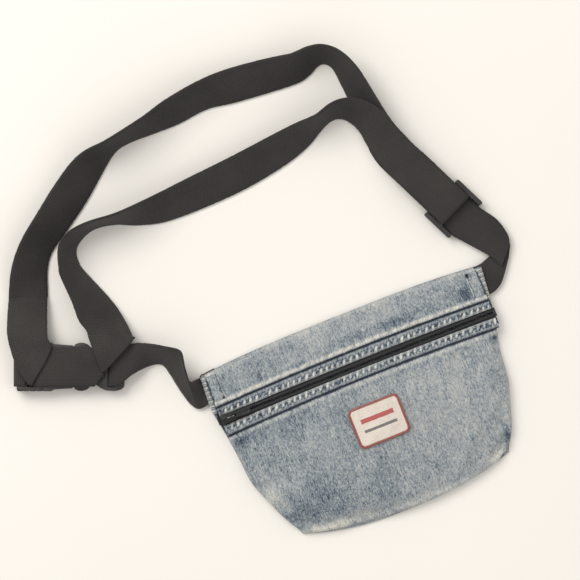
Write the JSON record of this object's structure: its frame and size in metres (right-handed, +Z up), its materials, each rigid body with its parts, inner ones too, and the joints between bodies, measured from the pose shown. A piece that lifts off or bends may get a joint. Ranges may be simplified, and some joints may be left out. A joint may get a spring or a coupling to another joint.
{
  "type": "waist pack",
  "caption": "Flat denim waist pouch with a zipped mouth, on a webbing belt with a side-release buckle and a strap adjuster.",
  "frame": {"origin": "on the resting surface, under the middle of the pouch's width and height", "axes": "+X along the pouch's width towards its right side, +Y towards its top edge, +Z up out of its front"},
  "size_m": [0.3286, 0.3041, 0.0255],
  "materials": {
    "denim": "washed twill",
    "denim_trim": "washed twill, worn at its folds",
    "label": "plain cotton",
    "zip_tape": "woven tape",
    "zip_coil": "nylon coil",
    "zip_metal": "black paint, worn at its edges",
    "webbing": "ribbed webbing",
    "buckle_plastic": "satin moulding"
  },
  "bodies": {
    "pack": {"back_panel": "denim", "top_band": "denim", "zip_facing_upper": "denim_trim", "zip_tape_upper": "zip_tape", "zip_coil_upper": "zip_coil", "zip_top_stop": "zip_metal", "zip_bottom_stop": "zip_metal", "side_seam_left": "denim_trim", "side_seam_right": "denim_trim", "strap_tab_left": "denim_trim", "strap_tab_right": "denim_trim", "strap_left": "webbing", "strap_right_root": "webbing", "strap_right_upper": "webbing", "belt_strand_a": "webbing", "belt_strand_b": "webbing", "buckle_male": "buckle_plastic"},
    "front_lip": {"front_panel": "denim", "zip_facing_lower": "denim_trim", "zip_tape_lower": "zip_tape", "zip_coil_lower": "zip_coil", "label_patch": "label"},
    "slider": {"zip_slider": "zip_metal"},
    "tab": {"pull_tab": "zip_metal"},
    "buckle_socket": {"buckle_female": "buckle_plastic", "belt_fold_a": "webbing", "belt_fold_b": "webbing", "belt_over_buckle": "webbing"},
    "prong_front_body": {"prong_front": "buckle_plastic"},
    "prong_rear_body": {"prong_rear": "buckle_plastic"},
    "adjuster": {"tri_glide": "buckle_plastic", "belt_sewn_loop": "webbing"}
  },
  "joints": [
    {"name": "zip_slide", "type": "slide", "parent": "pack", "child": "slider", "axis": [1, 0, 0], "range_m": [0, 0.168]},
    {"name": "pull_tab_swing", "type": "hinge", "parent": "slider", "child": "tab", "pos_m": [-0.0866, 0.0314, 0.0112], "axis": [0, -1, 0], "range_deg": [0, 165]},
    {"name": "mouth_open", "type": "slide", "parent": "pack", "child": "front_lip", "axis": [0, -1, 0], "range_m": [0, 0.012]},
    {"name": "buckle_release", "type": "slide", "parent": "pack", "child": "buckle_socket", "axis": [-0.9294, 0.3691, 0], "range_m": [0, 0.025]},
    {"name": "prong_front_press", "type": "slide", "parent": "pack", "child": "prong_front_body", "axis": [0.3691, 0.9294, 0], "range_m": [0, 0.003]},
    {"name": "prong_rear_press", "type": "slide", "parent": "pack", "child": "prong_rear_body", "axis": [-0.3691, -0.9294, 0], "range_m": [0, 0.003]},
    {"name": "strap_adjust", "type": "slide", "parent": "pack", "child": "adjuster", "axis": [-0.419, 0.908, 0], "range_m": [0, 0.02]}
  ],
  "couplings": [
    {"joint": "mouth_open", "follows": "zip_slide", "ratio": 0.0714},
    {"joint": "prong_front_press", "follows": "buckle_release", "ratio": 0.12},
    {"joint": "prong_rear_press", "follows": "buckle_release", "ratio": 0.12}
  ]
}
